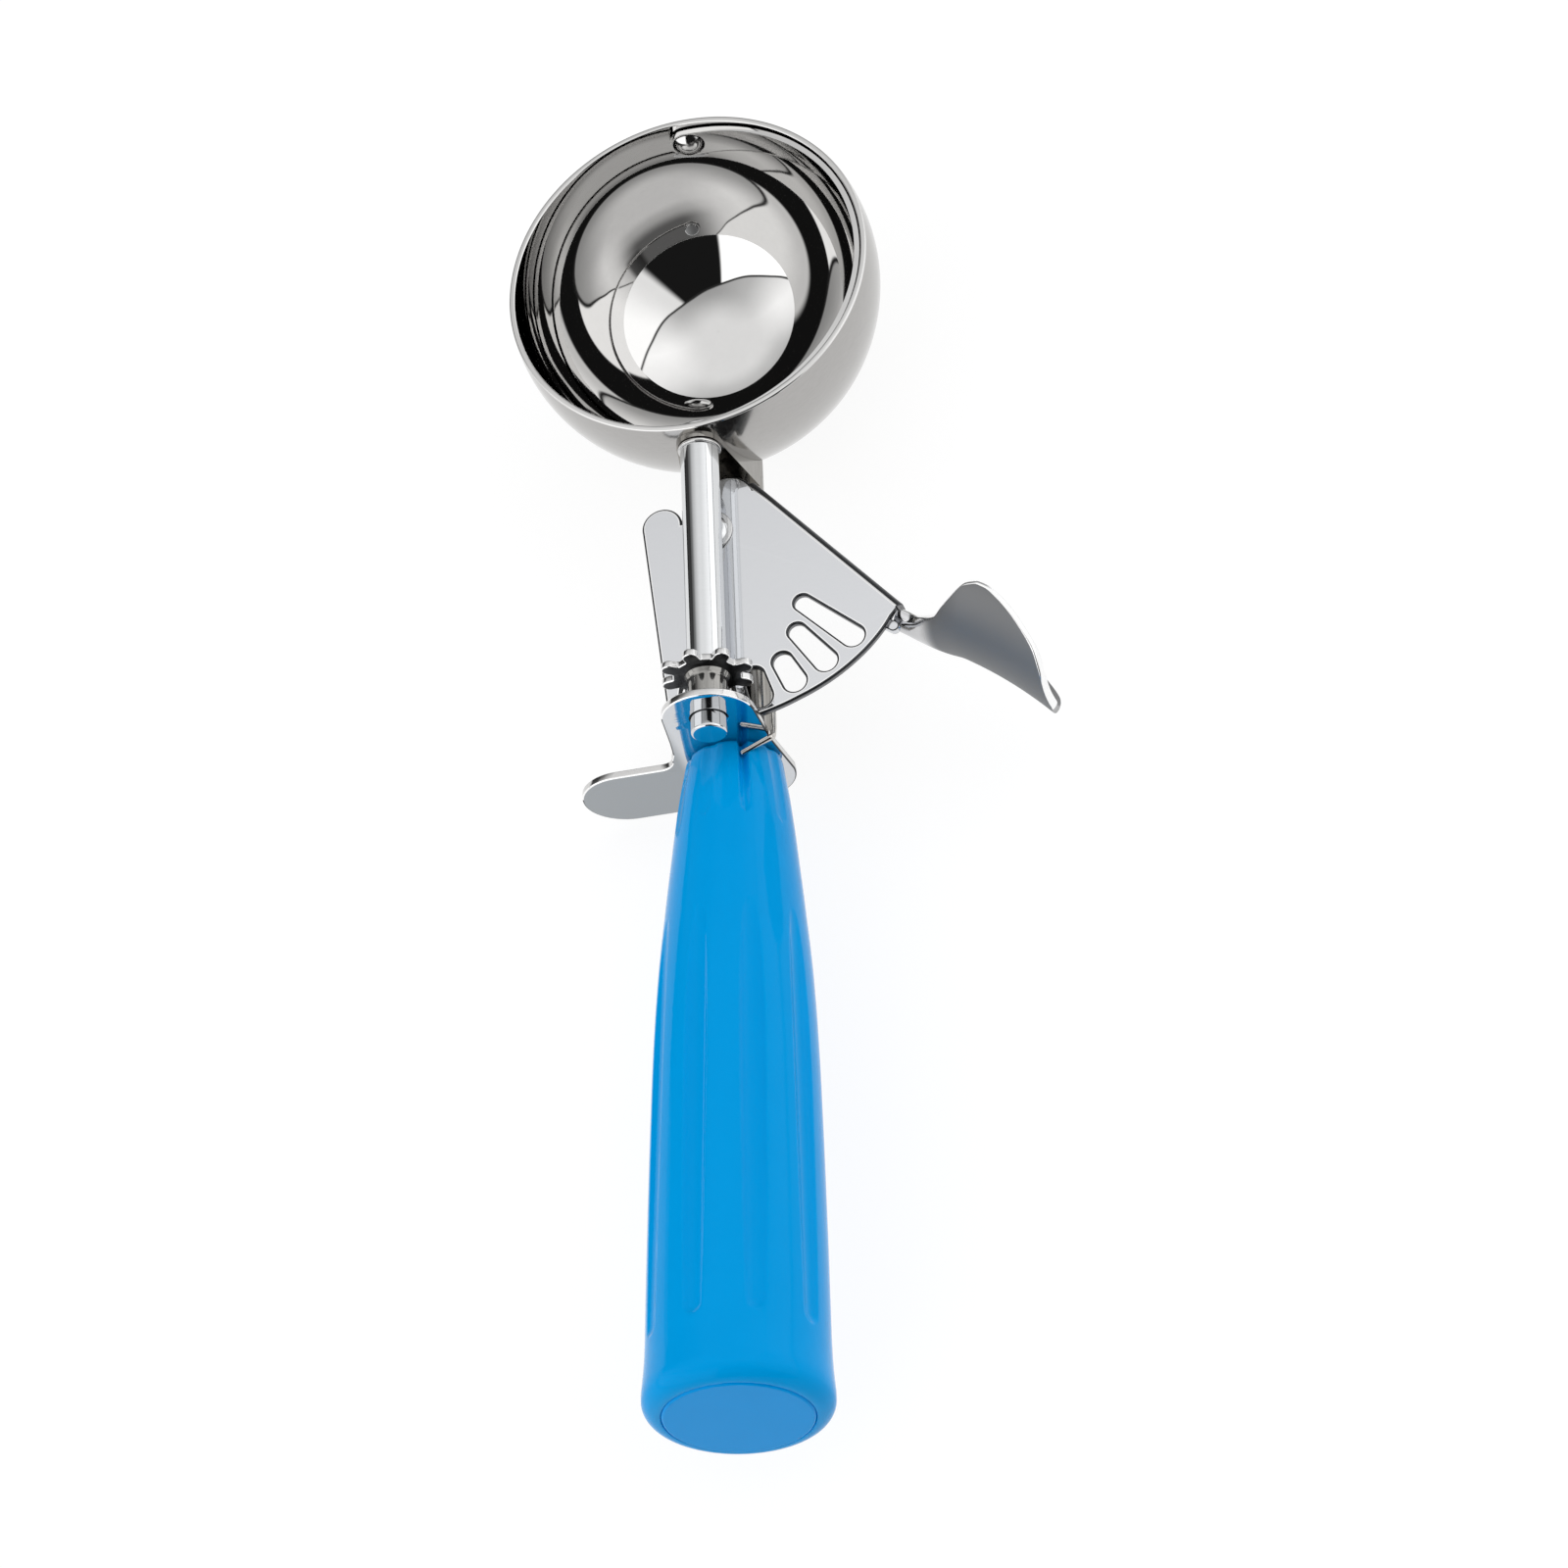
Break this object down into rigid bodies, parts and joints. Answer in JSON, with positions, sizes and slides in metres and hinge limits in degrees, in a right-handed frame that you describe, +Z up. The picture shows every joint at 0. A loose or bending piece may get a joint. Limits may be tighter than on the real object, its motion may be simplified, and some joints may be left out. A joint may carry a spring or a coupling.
{
  "type": "lever ice cream scoop",
  "caption": "Portion scoop with a thumb lever: a toothed plate turns a pinion that sweeps a curved blade through a round steel bowl, on a grooved plastic handle.",
  "frame": {"origin": "middle of the part's length and width, on the counter under the bowl's bottom", "axes": "+Y from the handle towards the bowl's far side, +Z up out of the bowl's opening, +X towards the thumb lever"},
  "size_m": [0.0799, 0.2146, 0.039],
  "materials": {
    "polished_steel": "polished",
    "satin_steel": "satin",
    "dark_steel": "satin",
    "blue_plastic": "gloss"
  },
  "bodies": {
    "frame": {"bowl": "polished_steel", "bowl_rivet": "polished_steel", "stem": "satin_steel", "bracket_plate": "polished_steel", "pivot_rivet": "polished_steel", "pivot_washer": "satin_steel", "pivot_spacer": "dark_steel", "return_spring": "dark_steel", "handle_grip": "blue_plastic", "handle_plug": "blue_plastic"},
    "lever": {"lever_plate": "satin_steel", "thumb_rest": "satin_steel"},
    "scraper": {"scraper_blade": "polished_steel", "scraper_shaft": "polished_steel", "shaft_washer": "satin_steel", "pinion": "satin_steel", "pinion_hub": "dark_steel"}
  },
  "joints": [
    {"name": "lever_pivot", "type": "hinge", "parent": "frame", "child": "lever", "pos_m": [-0.01104, 0.03655, 0.0289], "axis": [0, 0, 1], "range_deg": [-39, 0], "stiffness_Nm_per_rad": 0.6, "springref_deg": 17.19, "deforming": ["return_spring"]},
    {"name": "blade_sweep", "type": "hinge", "parent": "frame", "child": "scraper", "pos_m": [-0.01104, 0.07795, 0.0289], "axis": [0, 1, 0], "range_deg": [0, 168.8]}
  ],
  "couplings": [
    {"joint": "blade_sweep", "follows": "lever_pivot", "ratio": -4.3269}
  ]
}
